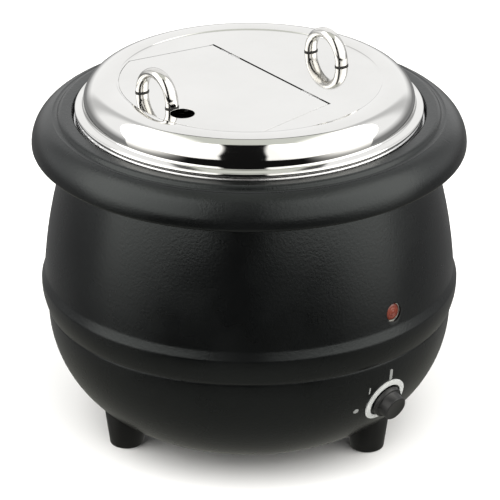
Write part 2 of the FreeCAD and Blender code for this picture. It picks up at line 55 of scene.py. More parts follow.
print("frame loaded,", len(frame["nodes"]), "nodes")


# Camera first, on the control side and a little above the lid.
cameraSettings = {"azimuth": -43.5, "elevation": 25.15, "distance": 3.416, "lens": 288.5,
                  "aim": (0.0, 0.0, 0.1549), "shiftX": 0.0016}


def makeCamera(settings):
    azimuth = math.radians(settings["azimuth"])
    elevation = math.radians(settings["elevation"])
    back = Vector((math.sin(azimuth) * math.cos(elevation),
                   -math.cos(azimuth) * math.cos(elevation), math.sin(elevation)))
    spot = Vector(settings["aim"]) + back * settings["distance"]
    bpy.ops.object.camera_add(location=spot)
    camera = bpy.context.object
    camera.name = "camera"
    camera.rotation_mode = "QUATERNION"
    camera.rotation_quaternion = (-back).to_track_quat("-Z", "Y")
    camera.data.lens = settings["lens"]
    camera.data.sensor_width = 36
    camera.data.shift_x = settings["shiftX"]
    camera.data.clip_start = 0.1
    camera.data.clip_end = 60
    bpy.context.scene.camera = camera


makeCamera(cameraSettings)
print("camera set")


# Modelling helpers.
def clearSelection():
    if bpy.context.object and bpy.context.object.mode != "OBJECT":
        bpy.ops.object.mode_set(mode="OBJECT")
    bpy.ops.object.select_all(action="DESELECT")


def called(name):
    # the primitive just added, named and ready for edit mode
    piece = bpy.context.object
    piece.name = name
    piece.data.name = name
    bpy.ops.object.transform_apply(location=True, rotation=True, scale=True)
    return piece


def editStart(piece):
    clearSelection()
    bpy.context.view_layer.objects.active = piece
    piece.select_set(True)
    bpy.ops.object.mode_set(mode="EDIT")
    bpy.ops.mesh.select_mode(type="VERT")


def editEnd():
    bpy.ops.object.mode_set(mode="OBJECT")


def pickVerts(piece, test):
    # in edit mode: selects the vertices that pass the test, and the edges and faces between them
    bpy.ops.mesh.select_mode(type="VERT")
    bpy.ops.mesh.select_all(action="DESELECT")
    mesh = bmesh.from_edit_mesh(piece.data)
    for vert in mesh.verts:
        vert.select = bool(test(vert.co))
    mesh.select_flush(True)
    bmesh.update_edit_mesh(piece.data)


def pickFaces(piece, test):
    bpy.ops.mesh.select_mode(type="FACE")
    bpy.ops.mesh.select_all(action="DESELECT")
    mesh = bmesh.from_edit_mesh(piece.data)
    for face in mesh.faces:
        face.select = bool(test(face))
    bmesh.update_edit_mesh(piece.data)


def applyModifier(piece, modifier):
    clearSelection()
    bpy.context.view_layer.objects.active = piece
    piece.select_set(True)
    bpy.ops.object.modifier_apply(modifier=modifier.name)


def giveWall(piece, gauge):
    wall = piece.modifiers.new("wall", "SOLIDIFY")
    wall.thickness = gauge * mm
    wall.offset = -1
    wall.use_even_offset = True
    applyModifier(piece, wall)


def softenEdges(piece, width, segments=2, angle=50):
    bevel = piece.modifiers.new("edges", "BEVEL")
    bevel.width = width * mm
    bevel.segments = segments
    bevel.limit_method = "ANGLE"
    bevel.angle_limit = math.radians(angle)
    bevel.harden_normals = False
    applyModifier(piece, bevel)


def cutAway(piece, cutter, keepCutter=False):
    cut = piece.modifiers.new("cut", "BOOLEAN")
    cut.operation = "DIFFERENCE"
    cut.solver = "EXACT"
    cut.object = cutter
    applyModifier(piece, cut)
    if not keepCutter:
        bpy.data.objects.remove(cutter)


def joinOn(piece, *others):
    clearSelection()
    for other in others:
        other.select_set(True)
    piece.select_set(True)
    bpy.context.view_layer.objects.active = piece
    bpy.ops.object.join()


def turnInPlace(piece, angle, axis="Z", centre=(0, 0, 0)):
    # turns the whole mesh about a point and leaves the object at the origin
    piece.data.transform(Matrix.Translation(centre) @ Matrix.Rotation(angle, 4, axis)
                         @ Matrix.Translation(-Vector(centre)))


def smoothOff(piece, angle=35):
    clearSelection()
    bpy.context.view_layer.objects.active = piece
    piece.select_set(True)
    bpy.ops.object.shade_smooth_by_angle(angle=math.radians(angle))


def evenNormals(piece):
    # big flat faces stay flat beside their small bevels
    weighted = piece.modifiers.new("weighted", "WEIGHTED_NORMAL")
    weighted.keep_sharp = True
    applyModifier(piece, weighted)


def arcPoints(start, middle, end):
    # points after start on the arc through middle to end, closer together on a tight arc
    (ax, az), (bx, bz), (cx, cz) = start, middle, end
    across = 2 * (ax * (bz - cz) + bx * (cz - az) + cx * (az - bz))
    aa, bb, cc = ax * ax + az * az, bx * bx + bz * bz, cx * cx + cz * cz
    ox = (aa * (bz - cz) + bb * (cz - az) + cc * (az - bz)) / across
    oz = (aa * (cx - bx) + bb * (ax - cx) + cc * (bx - ax)) / across
    first = math.atan2(az - oz, ax - ox)
    halfway = (math.atan2(bz - oz, bx - ox) - first) % (2 * math.pi)
    sweep = (math.atan2(cz - oz, cx - ox) - first) % (2 * math.pi)
    if halfway > sweep:
        sweep -= 2 * math.pi
    radius = math.hypot(ax - ox, az - oz)
    steps = max(3, math.ceil(abs(sweep) / math.radians(5)), math.ceil(abs(sweep) * radius / (5 * mm)))
    turns = [first + sweep * i / steps for i in range(1, steps + 1)]
    return [(ox + radius * math.cos(turn), oz + radius * math.sin(turn)) for turn in turns]


def traceLine(line, outer, top):
    # (inset, drop) in mm from the outer radius and the top; a step of four numbers is an arc
    points = []
    for step in line:
        radius = outer - step[-2] * mm
        end = (0.0 if radius < 0.1 * mm else radius, top - step[-1] * mm)
        if len(step) == 4:
            points += arcPoints(points[-1], (outer - step[0] * mm, top - step[1] * mm), end)
        else:
            points.append(end)
    return points


def spinPiece(name, points, steps):
    # a line of (radius, height) points drawn out of one vertex, then spun about the kettle's axis
    first = points[0]
    clearSelection()
    bpy.ops.mesh.primitive_plane_add(size=mm, location=(first[0], 0, first[1]))
    piece = called(name)
    editStart(piece)
    bpy.ops.mesh.select_all(action="SELECT")
    bpy.ops.mesh.merge(type="CENTER")
    for here, there in zip(points, points[1:]):
        move = (there[0] - here[0], 0, there[1] - here[1])
        bpy.ops.mesh.extrude_region_move(TRANSFORM_OT_translate={"value": move})
    bpy.ops.mesh.select_all(action="SELECT")
    bpy.ops.mesh.spin(steps=steps, angle=2 * math.pi, center=(0, 0, 0), axis=(0, 0, 1))
    bpy.ops.mesh.select_all(action="SELECT")
    bpy.ops.mesh.remove_doubles(threshold=2e-6)
    bpy.ops.mesh.dissolve_degenerate(threshold=1e-7)
    bpy.ops.mesh.select_all(action="SELECT")
    bpy.ops.mesh.normals_make_consistent(inside=False)
    editEnd()
    return piece


def finished(piece, body, nodes, slot, finish=None, angle=35):
    # rides its body, stands for its CAD nodes and takes its slot's finish, or the one given
    smoothOff(piece, angle)
    piece.data.materials.clear()
    piece.data.materials.append(finish or finishes[slot])
    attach(piece, body)
    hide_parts(*nodes)


# Material helpers. Every pattern reads Object coordinates, in metres.
def startFinish(name, color, roughness, metallic=0.0, ior=1.45):
    finish = bpy.data.materials.new(name)
    finish.use_nodes = True
    shader = finish.node_tree.nodes["Principled BSDF"]
    shader.inputs["Base Color"].default_value = (*color, 1)
    shader.inputs["Roughness"].default_value = roughness
    shader.inputs["Metallic"].default_value = metallic
    shader.inputs["IOR"].default_value = ior
    return finish, shader


def addNode(finish, kind, **inputs):
    node = finish.node_tree.nodes.new(kind)
    for socket, value in inputs.items():
        node.inputs[socket.replace("_", " ")].default_value = value
    return node


def link(finish, output, target):
    finish.node_tree.links.new(output, target)


def coordinates(finish, scale=(1, 1, 1), turn=(0, 0, 0)):
    source = addNode(finish, "ShaderNodeTexCoord")
    mapping = addNode(finish, "ShaderNodeMapping", Scale=scale, Rotation=turn)
    link(finish, source.outputs["Object"], mapping.inputs["Vector"])
    return mapping.outputs["Vector"]


def ringCoordinates(finish, around):
    # distance from the kettle's axis, angle and height, so that lines run round the piece
    source = addNode(finish, "ShaderNodeTexCoord")
    split = addNode(finish, "ShaderNodeSeparateXYZ")
    flat = addNode(finish, "ShaderNodeCombineXYZ")
    length = addNode(finish, "ShaderNodeVectorMath")
    length.operation = "LENGTH"
    joined = addNode(finish, "ShaderNodeCombineXYZ")
    angle = addNode(finish, "ShaderNodeMath")
    angle.operation = "ARCTAN2"
    link(finish, source.outputs["Object"], split.inputs[0])
    link(finish, split.outputs["X"], flat.inputs["X"])
    link(finish, split.outputs["Y"], flat.inputs["Y"])
    link(finish, flat.outputs[0], length.inputs[0])
    link(finish, split.outputs["Y"], angle.inputs[0])
    link(finish, split.outputs["X"], angle.inputs[1])
    link(finish, length.outputs["Value"], joined.inputs["X"])
    link(finish, angle.outputs[0], joined.inputs["Y"])
    link(finish, split.outputs["Z"], joined.inputs["Z"])
    mapping = addNode(finish, "ShaderNodeMapping", Scale=(1, around, 1))
    link(finish, joined.outputs[0], mapping.inputs["Vector"])
    return mapping.outputs["Vector"]


def noise(finish, vector, scale, detail=2.0, roughness=0.5):
    node = addNode(finish, "ShaderNodeTexNoise", Scale=scale, Detail=detail, Roughness=roughness)
    link(finish, vector, node.inputs["Vector"])
    return node.outputs["Fac"]


def ramped(finish, value, low, high, start=0.35, end=0.65):
    ramp = addNode(finish, "ShaderNodeMapRange", From_Min=start, From_Max=end, To_Min=low, To_Max=high)
    link(finish, value, ramp.inputs["Value"])
    return ramp.outputs["Result"]


def mottled(finish, value, first, second, start=0.35, end=0.65):
    ramp = addNode(finish, "ShaderNodeValToRGB")
    ramp.color_ramp.elements[0].position = start
    ramp.color_ramp.elements[1].position = end
    ramp.color_ramp.elements[0].color = (*first, 1)
    ramp.color_ramp.elements[1].color = (*second, 1)
    link(finish, value, ramp.inputs["Fac"])
    return ramp.outputs["Color"]


def bumped(finish, shader, heights, strength=1.0):
    # heights: (value, depth in mm), one bump on top of the other
    before = None
    for value, depth in heights:
        bump = addNode(finish, "ShaderNodeBump", Strength=strength, Distance=depth * mm)
        link(finish, value, bump.inputs["Height"])
        if before:
            link(finish, before.outputs["Normal"], bump.inputs["Normal"])
        before = bump
    link(finish, before.outputs["Normal"], shader.inputs["Normal"])


# Textured powder coat: orange peel about a millimetre across over a slow ripple.
coatLook = {"color": (0.0014, 0.0015, 0.0016), "dust": (0.0024, 0.0026, 0.0027), "roughness": 0.27,
            "glossLow": 0.03, "glossHigh": 0.04, "cloudScale": 14, "grainScale": 780, "grainDepth": 0.09,
            "peelScale": 400, "peelDepth": 0.11, "ior": 1.42, "tint": (0.93, 1.0, 1.0)}


def makeCoat(name, look):
    finish, shader = startFinish(name, look["color"], look["roughness"], ior=look["ior"])
    shader.inputs["Specular Tint"].default_value = (*look["tint"], 1)
    where = coordinates(finish)
    grain = noise(finish, where, look["grainScale"], 2.5, 0.55)
    peel = noise(finish, where, look["peelScale"], 1.5, 0.45)
    cloud = noise(finish, where, look["cloudScale"], 3.0, 0.6)
    bumped(finish, shader, ((peel, look["peelDepth"]), (grain, look["grainDepth"])))
    link(finish, mottled(finish, cloud, look["color"], look["dust"]), shader.inputs["Base Color"])
    smooth, rough = look["roughness"] - look["glossLow"], look["roughness"] + look["glossHigh"]
    link(finish, ramped(finish, cloud, smooth, rough), shader.inputs["Roughness"])
    return finish


# Mirror-polished sheet: nearly flat, with a faint wipe haze and hairline polishing marks.
mirrorLook = {"color": (0.73, 0.725, 0.71), "worn": (0.69, 0.685, 0.67), "roughness": 0.045,
              "hazeScale": 9, "lineScale": 420, "lineStretch": (1, 12, 1), "lineTurn": (0, 0, 0.6),
              "lineDepth": 0.0006, "waveScale": 16, "waveDepth": 0.02}


def makeMirror(name, look):
    finish, shader = startFinish(name, look["color"], look["roughness"], metallic=1.0)
    where = coordinates(finish)
    haze = noise(finish, where, look["hazeScale"], 4.0, 0.6)
    wave = noise(finish, where, look["waveScale"], 0.0)
    stretched = coordinates(finish, look["lineStretch"], look["lineTurn"])
    lines = noise(finish, stretched, look["lineScale"], 3.0, 0.7)
    bumped(finish, shader, ((wave, look["waveDepth"]), (lines, look["lineDepth"])))
    link(finish, mottled(finish, haze, look["color"], look["worn"]), shader.inputs["Base Color"])
    link(finish, ramped(finish, haze, look["roughness"] * 0.7, look["roughness"] * 1.5),
         shader.inputs["Roughness"])
    return finish


# Sheet with fine lines running round it, for the pot, the well and the dial ring.
turnedLook = {"color": (0.60, 0.60, 0.60), "worn": (0.52, 0.52, 0.525), "roughness": 0.27,
              "lines": 2600, "breaks": 6, "lineDepth": 0.004, "hazeScale": 22,
              "glossLow": 0.06, "glossHigh": 0.08}


def makeTurned(name, look):
    finish, shader = startFinish(name, look["color"], look["roughness"], metallic=1.0)
    rings = ringCoordinates(finish, look["breaks"] / look["lines"])
    lines = noise(finish, rings, look["lines"], 4.0, 0.7)
    haze = noise(finish, coordinates(finish), look["hazeScale"], 3.0, 0.6)
    bumped(finish, shader, ((lines, look["lineDepth"]),))
    link(finish, mottled(finish, haze, look["color"], look["worn"]), shader.inputs["Base Color"])
    smooth, rough = look["roughness"] - look["glossLow"], look["roughness"] + look["glossHigh"]
    link(finish, ramped(finish, lines, smooth, rough), shader.inputs["Roughness"])
    return finish


# Everything else: one grain for the bump, one cloud for colour and gloss.
def makeGrained(name, look):
    finish, shader = startFinish(name, look["color"], look["roughness"], look.get("metallic", 0.0),
                                 look.get("ior", 1.46))
    where = coordinates(finish)
    grain = noise(finish, where, look["grainScale"], 3.0, 0.6)
    cloud = noise(finish, where, look.get("cloudScale", 60), 3.0, 0.6)
    bumped(finish, shader, ((grain, look["grainDepth"]),))
    link(finish, mottled(finish, cloud, look["color"], look["worn"]), shader.inputs["Base Color"])
    spread = look.get("spread", 0.05)
    link(finish, ramped(finish, cloud, look["roughness"] - spread, look["roughness"] + spread),
         shader.inputs["Roughness"])
    return finish


grainedLooks = {
    "zinc": {"color": (0.56, 0.57, 0.60), "worn": (0.45, 0.47, 0.50), "roughness": 0.32, "metallic": 1.0,
             "grainScale": 900, "grainDepth": 0.01, "spread": 0.10},
    "black_plastic": {"color": (0.0045, 0.0045, 0.0042), "worn": (0.007, 0.007, 0.0065), "roughness": 0.42,
                      "ior": 1.36, "grainScale": 1500, "grainDepth": 0.02},
    "knob_black": {"color": (0.008, 0.008, 0.008), "worn": (0.013, 0.013, 0.013), "roughness": 0.38,
                   "grainScale": 2200, "grainDepth": 0.012},
    "pale_print": {"color": (0.22, 0.225, 0.22), "worn": (0.15, 0.155, 0.15), "roughness": 0.5,
                   "grainScale": 1300, "grainDepth": 0.02},
    "black_rubber": {"color": (0.012, 0.012, 0.012), "worn": (0.022, 0.021, 0.020), "roughness": 0.62,
                     "grainScale": 1200, "grainDepth": 0.03},
    "pale_moulding": {"color": (0.70, 0.68, 0.62), "worn": (0.62, 0.60, 0.54), "roughness": 0.45,
                      "grainScale": 1500, "grainDepth": 0.02},
    "brass": {"color": (0.72, 0.55, 0.26), "worn": (0.60, 0.44, 0.20), "roughness": 0.28, "metallic": 1.0,
              "grainScale": 900, "grainDepth": 0.008},
    "copper": {"color": (0.74, 0.42, 0.29), "worn": (0.58, 0.30, 0.20), "roughness": 0.30, "metallic": 1.0,
               "grainScale": 900, "grainDepth": 0.008},
    "cast_alloy": {"color": (0.50, 0.50, 0.50), "worn": (0.42, 0.42, 0.42), "roughness": 0.52,
                   "metallic": 1.0, "grainScale": 700, "grainDepth": 0.06},
    "mineral_wool": {"color": (0.74, 0.71, 0.60), "worn": (0.60, 0.56, 0.44), "roughness": 0.95,
                     "grainScale": 380, "grainDepth": 0.6, "cloudScale": 40, "spread": 0.03},
    "lead_brown": {"color": (0.19, 0.08, 0.04), "worn": (0.15, 0.06, 0.03), "roughness": 0.5,
                   "grainScale": 1100, "grainDepth": 0.02},
    "lead_white": {"color": (0.72, 0.71, 0.67), "worn": (0.62, 0.61, 0.56), "roughness": 0.7,
                   "grainScale": 1600, "grainDepth": 0.05},
}

# Satin metal ring round the dial.
ringLook = {"color": (0.58, 0.59, 0.58), "worn": (0.48, 0.49, 0.48), "roughness": 0.40, "metallic": 0.25,
            "grainScale": 1500, "grainDepth": 0.006}

# Polished bar of the two handles.
barLook = {"color": (0.70, 0.69, 0.67), "worn": (0.60, 0.59, 0.57), "roughness": 0.13, "metallic": 1.0,
           "grainScale": 260, "grainDepth": 0.012, "cloudScale": 90, "spread": 0.04}

# Red moulded lens under a thin gloss.
lensLook = {"color": (0.125, 0.020, 0.008), "deep": (0.08, 0.010, 0.005), "roughness": 0.30, "ior": 1.49,
            "gloss": 0.12, "glossRoughness": 0.08, "cloudScale": 240, "grainScale": 900, "grainDepth": 0.01}


def makeLens(name, look):
    finish, shader = startFinish(name, look["color"], look["roughness"], ior=look["ior"])
    shader.inputs["Coat Weight"].default_value = look["gloss"]
    shader.inputs["Coat Roughness"].default_value = look["glossRoughness"]
    where = coordinates(finish)
    cloud = noise(finish, where, look["cloudScale"], 2.0)
    link(finish, mottled(finish, cloud, look["deep"], look["color"]), shader.inputs["Base Color"])
    bumped(finish, shader, ((noise(finish, where, look["grainScale"], 1.0), look["grainDepth"]),))
    return finish


finishes = {slot: makeGrained(slot, look) for slot, look in grainedLooks.items()}
finishes["black_coat"] = makeCoat("black_coat", coatLook)
finishes["mirror_steel"] = makeMirror("mirror_steel", mirrorLook)
finishes["satin_steel"] = makeTurned("satin_steel", turnedLook)
finishes["ring_silver"] = makeGrained("ring_silver", ringLook)
finishes["red_lens"] = makeLens("red_lens", lensLook)
barFinish = makeGrained("polished_bar", barLook)

for node, piece in frame["nodes"].items():
    piece.data.materials.clear()
    piece.data.materials.append(finishes[slotOf[node]])
print("finishes made,", len(bpy.data.materials))


# Top collar: flat seat for the lid, low ridge, valley, broad rolled brim and curled-in edge.
collar = {"gauge": 1.5, "edge": 0.35,
          "line": ((40.9, 7.3), (36.1, 7.3), (35.05, 6.85, 34.6, 5.8), (34.6, 1.2),
                   (34.25, 0.35, 33.4, 0.0), (26.1, 0.0), (23.7, 0.7, 22.1, 2.4),
                   (20.4, 3.6, 17.5, 3.6), (5.7, 11.5, 0.0, 27.7), (0.9, 30.0, 3.5, 30.9), (8.1, 30.9))}


def makeCollar(settings):
    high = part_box("collar_ring")[1]
    piece = spinPiece("collarRing", traceLine(settings["line"], high.x, high.z), steps=288)
    giveWall(piece, settings["gauge"])
    softenEdges(piece, settings["edge"])
    finished(piece, "kettle", ["collar_ring"], "black_coat")


makeCollar(collar)
print("collar done")


# Upper shell: belt swelling over the seam, long tapering wall and upright neck, with the lamp window.
upper = {"gauge": 1.5, "edge": 0.3,
         "line": ((4.4, 163.9), (1.1, 154.0, 0.02, 142.3), (0.1, 141.1, 0.4, 139.95), (2.45, 134.0),
                  (2.72, 132.9, 2.86, 131.8), (8.8, 83.5, 27.4, 15.5), (27.4, 0.0)),
         "windowExtra": 0.35, "windowReach": 20}


def makeUpper(settings):
    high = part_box("upper_shell")[1]
    piece = spinPiece("upperShell", traceLine(settings["line"], high.x, high.z), steps=288)
    giveWall(piece, settings["gauge"])
    lensLow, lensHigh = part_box("lamp_lens")
    middle = (lensLow + lensHigh) / 2
    clearSelection()
    bpy.ops.mesh.primitive_cylinder_add(
        vertices=96, radius=(lensHigh.x - lensLow.x) / 2 + settings["windowExtra"] * mm,
        depth=settings["windowReach"] * mm, location=middle, rotation=(math.radians(90), 0, 0))
    cutAway(piece, called("windowCutter"))
    softenEdges(piece, settings["edge"])
    finished(piece, "kettle", ["upper_shell"], "black_coat")


makeUpper(upper)
print("upper shell done")


# Lower bowl, drawn from the hatch under the base up to the step that the belt covers.
bowl = {"gauge": 1.5, "edge": 0.3,
        "line": ((114.1, 122.84), (102.9, 122.84), (30.42, 92.82, 0.4, 20.34), (0.4, 18.14),
                 (2.4, 14.74), (0.0, 0.24)),
        "spindleHole": 5.2, "glandHole": 8.2, "glandReach": 60}


def holeCutter(name, radius, centre, direction, depth=30, sides=48):
    clearSelection()
    turn = Vector(direction).to_track_quat("Z", "Y").to_euler()
    bpy.ops.mesh.primitive_cylinder_add(vertices=sides, radius=radius * mm, depth=depth * mm,
                                        location=centre, rotation=turn)
    return called(name)


def boxCutter(name, centre, size):
    # centre and size in metres
    clearSelection()
    bpy.ops.mesh.primitive_cube_add(size=1, location=centre)
    bpy.context.object.scale = size
    return called(name)


def dialPlace():
    turn = joints["knob_turn"]
    return Vector(turn["pos_m"]), -Vector(turn["axis"]).normalized()


def makeBowl(settings):
    low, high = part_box("lower_bowl")
    outer = (high.x - low.x) / 2
    line = traceLine(settings["line"], outer, high.z)
    piece = spinPiece("lowerBowl", line, steps=288)
    giveWall(piece, settings["gauge"])
    centre, outward = dialPlace()
    cutAway(piece, holeCutter("spindleHole", settings["spindleHole"], centre, outward))
    mount = frame["record"]["mounts"]
    inlet = next(m for m in mount if m["name"] == "cord_entry")
    cutAway(piece, holeCutter("inletHole", settings["glandHole"], inlet["pos_m"], inlet["axis"],
                              depth=settings["glandReach"]))
    softenEdges(piece, settings["edge"])
    finished(piece, "kettle", ["lower_bowl"], "black_coat")


makeBowl(bowl)
print("lower bowl done")


# Three moulded feet: a cone with a rounded sole, hollowed for the screw, trimmed to the bowl.
foot = {"sole": 14.2, "top": 20.2, "height": 44.0, "round": 1.6, "recess": 6.0, "recessDepth": 8.0,
        "bowlCentre": (69.2, 110.5), "bowlRadius": 102.5, "edge": 0.25}


def soleCentre(node):
    co = [v.co for v in frame["nodes"][node].data.vertices if v.co.z < 0.5 * mm]
    xs, ys = [c.x for c in co], [c.y for c in co]
    return (min(xs) + max(xs)) / 2, (min(ys) + max(ys)) / 2


def bowlSolid(settings):
    # everything inside the bowl's skin, for trimming the feet
    r, z = settings["bowlCentre"]
    radius = settings["bowlRadius"]
    diagonal = radius * math.sqrt(0.5)
    points = [(0.0, (z - radius) * mm), (r * mm, (z - radius) * mm)]
    points += arcPoints(points[-1], ((r + diagonal) * mm, (z - diagonal) * mm), ((r + radius) * mm, z * mm))
    points.append((0.0, z * mm))
    return spinPiece("bowlSolid", points, steps=288)


def makeFoot(node, name, settings, trimmer):
    x, y = soleCentre(node)
    clearSelection()
    bpy.ops.mesh.primitive_cylinder_add(vertices=96, radius=settings["sole"] * mm,
                                        depth=settings["height"] * mm,
                                        location=(x, y, settings["height"] / 2 * mm))
    piece = called(name)
    editStart(piece)
    pickVerts(piece, lambda co: co.z > settings["height"] / 2 * mm)
    wider = settings["top"] / settings["sole"]
    bpy.ops.transform.resize(value=(wider, wider, 1), center_override=(x, y, 0))
    pickVerts(piece, lambda co: co.z < 0.01 * mm)
    bpy.ops.mesh.bevel(offset=settings["round"] * mm, segments=6, affect="EDGES")
    pickFaces(piece, lambda face: face.normal.z < -0.99 and len(face.verts) > 8)
    bpy.ops.mesh.inset(thickness=(settings["sole"] - settings["round"] - settings["recess"]) * mm)
    bpy.ops.mesh.extrude_region_move(TRANSFORM_OT_translate={"value": (0, 0, settings["recessDepth"] * mm)})
    editEnd()
    cutAway(piece, trimmer, keepCutter=True)
    softenEdges(piece, settings["edge"], angle=60)
    finished(piece, "kettle", [node], "black_plastic", angle=40)


trimmer = bowlSolid(foot)
for node, name in (("foot_front", "footFront"), ("foot_right", "footRight"), ("foot_left", "footLeft")):
    makeFoot(node, name, foot, trimmer)
bpy.data.objects.remove(trimmer)
print("feet done")


# The lid's own x axis points from the flap towards the fixed half, and the hinge runs across it.
hingeAxis = Vector(joints["flap_hinge"]["axis"])
lidTurn = math.atan2(hingeAxis.y, hingeAxis.x) - math.pi / 2

# Flap opening shared by the lid, the ledge under it and the flap itself, in the lid's own axes.
opening = {"hingeX": 22.2, "hingeHalf": 80.0, "sideX": -56.0, "sideHalf": 93.5, "arc": 109.0}


def openingPrism(name, grow, edgeX, bottom, top):
    # a round plate trimmed by the hinge line and the two flared sides
    clearSelection()
    bpy.ops.mesh.primitive_cylinder_add(vertices=360, radius=(opening["arc"] + grow) * mm,
                                        depth=top - bottom, location=(0, 0, (top + bottom) / 2))
    piece = called(name)
    slope = (opening["sideHalf"] - opening["hingeHalf"]) / (opening["hingeX"] - opening["sideX"])
    side = opening["hingeHalf"] + grow * math.sqrt(1 + slope * slope)
    cuts = [((edgeX, 0, 0), (1, 0, 0))]
    for hand in (-1, 1):
        cuts.append(((opening["hingeX"], hand * side, 0), (slope, hand, 0)))
    for point, direction in cuts:
        editStart(piece)
        bpy.ops.mesh.select_all(action="SELECT")
        bpy.ops.mesh.bisect(plane_co=Vector(point) * mm, plane_no=Vector(direction).normalized(),
                            use_fill=True, clear_outer=True)
        editEnd()
    return piece


# Lid: flat top, small step, quarter-round bulge, flared lip and a curled bead, with the flap opening cut out.
lid = {"gauge": 1.0, "edge": 0.18, "gap": 0.4, "edgeX": 23.2, "ledgeEdgeX": 15.4, "frameEdgeX": 17.4,
       "frameOut": 3.5, "reliefHalf": 81.2, "ledgeIn": 5.5, "ledgeDrop": 2.3, "ledgeGauge": 1.0,
       "topDrop": 1.9, "reach": 10, "overlap": 0.02, "openX": 60,
       "line": ((146.4, 1.9), (60.0, 1.9), (41.0, 1.9), (37.8, 1.9), (36.0, 1.55, 34.8, 0.8),
                (31.2, 0.15, 26.9, 0.0), (12.76, 5.86, 6.9, 20.0), (6.45, 21.15, 5.5, 21.8), (1.8, 23.3),
                (0.0, 24.9, 1.6, 26.5), (2.85, 25.9, 3.2, 24.9))}


def makeLid(settings):
    low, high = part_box("lid_shell")
    outer = (high.x - low.x) / 2
    piece = spinPiece("lidShell", traceLine(settings["line"], outer, high.z), steps=360)
    giveWall(piece, settings["gauge"])
    top = high.z - settings["topDrop"] * mm
    reach, overlap = settings["reach"] * mm, settings["overlap"]
    gap, openX = settings["gap"], settings["openX"]
    cutAway(piece, openingPrism("openingCutter", gap, settings["edgeX"], top - reach, top + reach))
    # square relief at both ends of the hinge line, so that the flap's corners clear as it opens
    start, end = settings["frameEdgeX"], settings["edgeX"]
    cutAway(piece, boxCutter("reliefCutter", ((start + end) / 2 * mm, 0, top),
                             ((end - start) * mm, 2 * settings["reliefHalf"] * mm, 2 * reach)))
    under = top - settings["gauge"] * mm
    bottom = top - settings["ledgeDrop"] * mm
    rim = openingPrism("rimStrip", settings["frameOut"], settings["frameEdgeX"], bottom, under + overlap * mm)
    cutAway(rim, openingPrism("rimCutter", gap, openX, bottom - reach, top + reach))
    ledge = openingPrism("ledgeStrip", gap + overlap, settings["ledgeEdgeX"], bottom,
                         bottom + settings["ledgeGauge"] * mm)
    cutAway(ledge, openingPrism("ledgeCutter", -settings["ledgeIn"], openX, bottom - reach, top + reach))
    softenEdges(piece, settings["edge"], angle=60)
    softenEdges(ledge, settings["edge"], angle=60)
    joinOn(piece, rim, ledge)
    turnInPlace(piece, lidTurn)
    finished(piece, "lid", ["lid_shell"], "mirror_steel", angle=30)
    evenNormals(piece)


makeLid(lid)
print("lid done")


# Flap: plate with a bright bevelled edge, relieved for the knuckles, and a hole with a turned-down collar.
flap = {"gauge": 1.0, "edge": 0.22, "edgeX": 21.2, "notchX": (19.8, 23.8), "notchY": 56.0, "notchWide": 24.6,
        "notchDeep": 6, "hole": (-86.6, -24.0), "holeRadius": 10.2, "collarGauge": 0.8, "collarDrop": 2.6}


def makeFlap(settings):
    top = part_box("flap_plate")[1].z
    plate = openingPrism("flapPlate", 0, settings["edgeX"], top - settings["gauge"] * mm, top)
    start, end = settings["notchX"]
    for hand in (-1, 1):
        notchCentre = ((start + end) / 2 * mm, hand * settings["notchY"] * mm, top)
        notchSize = ((end - start) * mm, settings["notchWide"] * mm, settings["notchDeep"] * mm)
        cutAway(plate, boxCutter("notchCutter", notchCentre, notchSize))
    holeX, holeY = settings["hole"]
    centre = Vector((holeX * mm, holeY * mm, top))
    cutAway(plate, holeCutter("holeCutter", settings["holeRadius"], centre, (0, 0, 1), sides=96))
    softenEdges(plate, settings["edge"], segments=3, angle=60)
    clearSelection()
    drop = settings["collarDrop"] * mm
    bpy.ops.mesh.primitive_circle_add(vertices=96, radius=settings["holeRadius"] * mm, fill_type="NOTHING",
                                      location=centre - Vector((0, 0, settings["edge"] * mm)))
    collarPiece = called("holeCollar")
    editStart(collarPiece)
    bpy.ops.mesh.select_all(action="SELECT")
    bpy.ops.mesh.extrude_region_move(TRANSFORM_OT_translate={"value": (0, 0, -drop + settings["edge"] * mm)})
    bpy.ops.mesh.select_all(action="SELECT")
    bpy.ops.mesh.normals_make_consistent(inside=False)
    editEnd()
    wall = collarPiece.modifiers.new("wall", "SOLIDIFY")
    wall.thickness = settings["collarGauge"] * mm
    wall.offset = 1
    applyModifier(collarPiece, wall)
    joinOn(plate, collarPiece)
    turnInPlace(plate, lidTurn)
    finished(plate, "flap", ["flap_plate"], "mirror_steel", angle=30)
    evenNormals(plate)


makeFlap(flap)
print("flap done")


# Bow handles: one oval ring drawn up, spun over the top and drawn down, on thin dark washers.
handle = {"bow": 21.0, "leg": 1.0, "wide": 12.0, "thick": 8.3, "ring": 64, "over": 64, "edge": 0.35}


